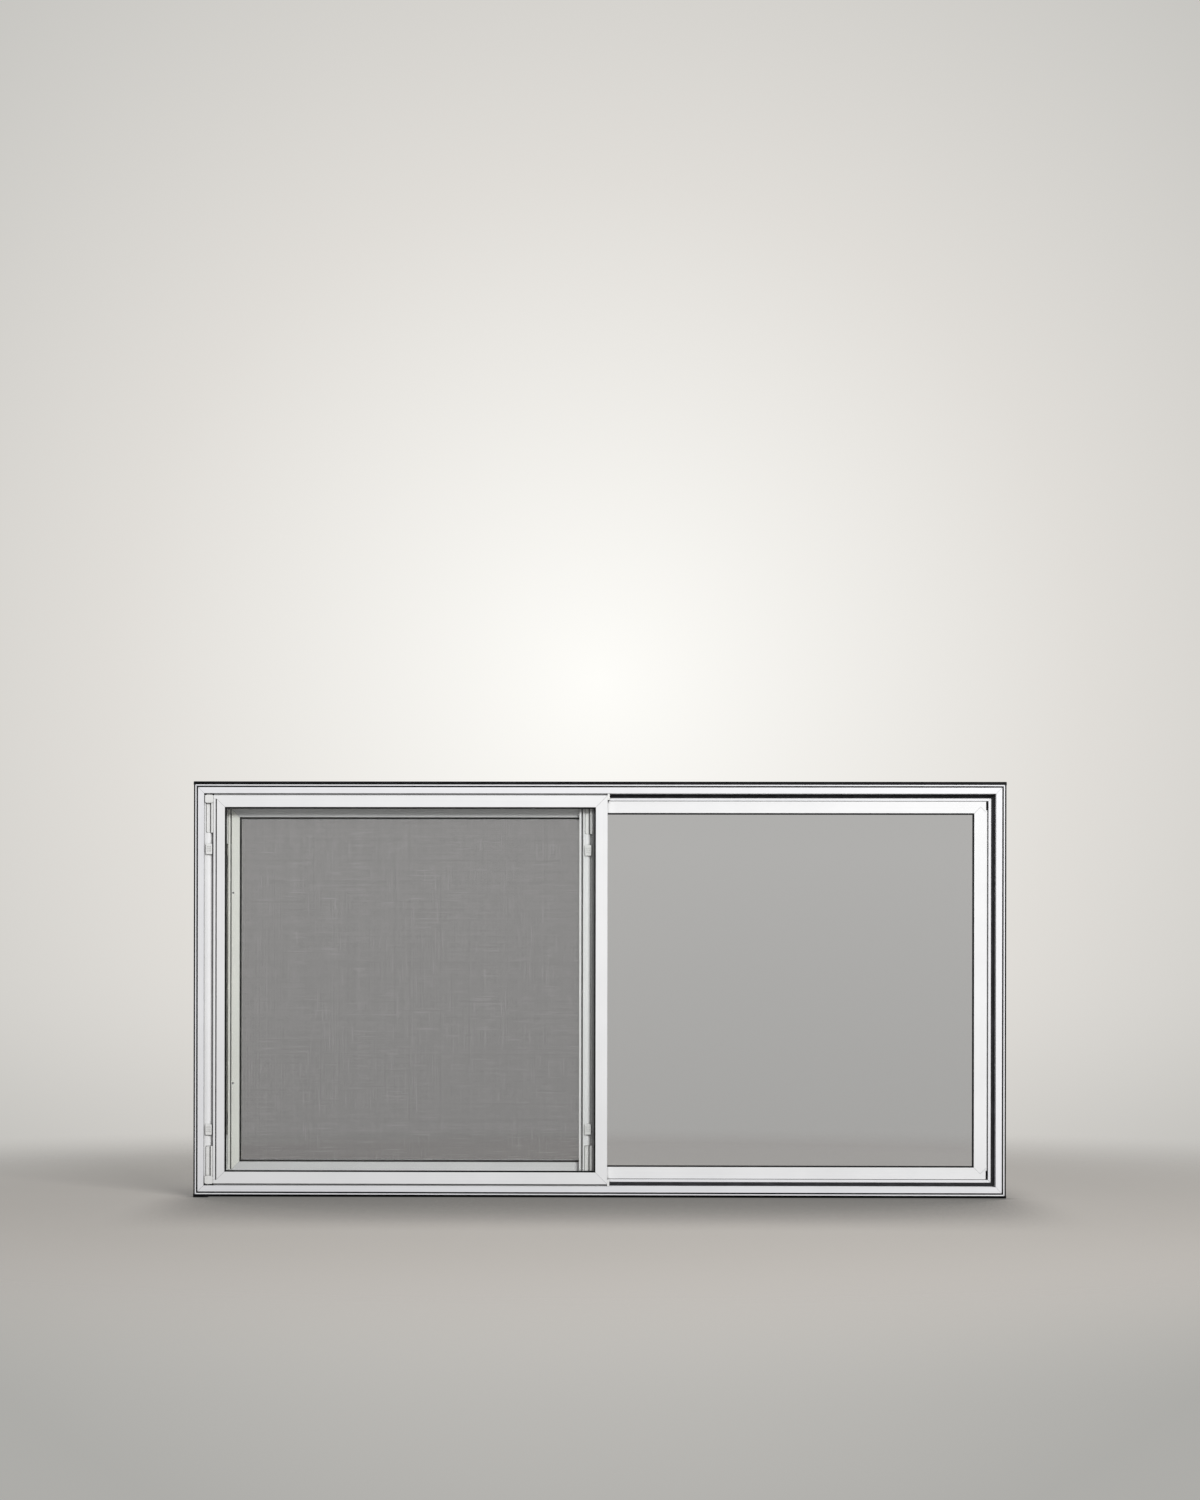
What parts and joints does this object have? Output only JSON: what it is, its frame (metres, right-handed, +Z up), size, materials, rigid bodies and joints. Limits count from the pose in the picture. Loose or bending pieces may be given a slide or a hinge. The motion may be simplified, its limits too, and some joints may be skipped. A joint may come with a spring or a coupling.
{
  "type": "horizontal sliding storm window with half screen",
  "caption": "White aluminium storm window: stepped multi-track frame, glass sashes that slide past each other, a half screen, spring latches and a rubber seal all round.",
  "frame": {"origin": "middle of the sill's back face, half way along the sill and half way up that face", "axes": "+X to the right along the sill, +Y out of the back of the window towards the weather, +Z up; the latch side faces -Y"},
  "size_m": [1.524, 0.042, 0.7815],
  "materials": {
    "frame_aluminium": "white baked enamel on extruded aluminium",
    "sash_aluminium": "white baked enamel on extruded aluminium",
    "screen_aluminium": "pale grey baked enamel on extruded aluminium",
    "seal_rubber": "black bulb seal, matt",
    "pile_black": "charcoal woven pile strip",
    "window_glass": "clear float glass with a light grey tint",
    "glazing_vinyl": "black wrap-round glazing vinyl",
    "spline_vinyl": "black ribbed spline",
    "screen_cloth": "woven grey screen cloth",
    "latch_plastic": "white moulded nylon",
    "spring_steel": "plated spring wire"
  },
  "bodies": {
    "root": {"frame_head": "frame_aluminium", "frame_left_jamb": "frame_aluminium", "frame_right_jamb": "frame_aluminium", "frame_sill": "frame_aluminium", "left_sash_bottom_latch": "latch_plastic", "left_sash_bottom_rail": "sash_aluminium", "left_sash_end_guides": "latch_plastic", "left_sash_gasket": "glazing_vinyl", "left_sash_glass": "window_glass", "left_sash_latch_springs": "spring_steel", "left_sash_latch_stile": "sash_aluminium", "left_sash_meeting_stile": "sash_aluminium", "left_sash_top_latch": "latch_plastic", "left_sash_top_rail": "sash_aluminium", "pile_head": "pile_black", "pile_left": "pile_black", "pile_right": "pile_black", "pile_sill": "pile_black", "right_sash_bottom_latch": "latch_plastic", "right_sash_bottom_rail": "sash_aluminium", "right_sash_end_guides": "latch_plastic", "right_sash_gasket": "glazing_vinyl", "right_sash_glass": "window_glass", "right_sash_jamb_stile": "sash_aluminium", "right_sash_latch_springs": "spring_steel", "right_sash_latch_stile": "sash_aluminium", "right_sash_top_latch": "latch_plastic", "right_sash_top_rail": "sash_aluminium", "screen_bottom_latch": "latch_plastic", "screen_bottom_rail": "screen_aluminium", "screen_end_guides": "latch_plastic", "screen_latch_springs": "spring_steel", "screen_latch_stile": "screen_aluminium", "screen_mesh": "screen_cloth", "screen_plain_stile": "screen_aluminium", "screen_spline": "spline_vinyl", "screen_top_latch": "latch_plastic", "screen_top_rail": "screen_aluminium", "seal_bottom": "seal_rubber", "seal_left": "seal_rubber", "seal_right": "seal_rubber", "seal_top": "seal_rubber"}
  },
  "joints": []
}
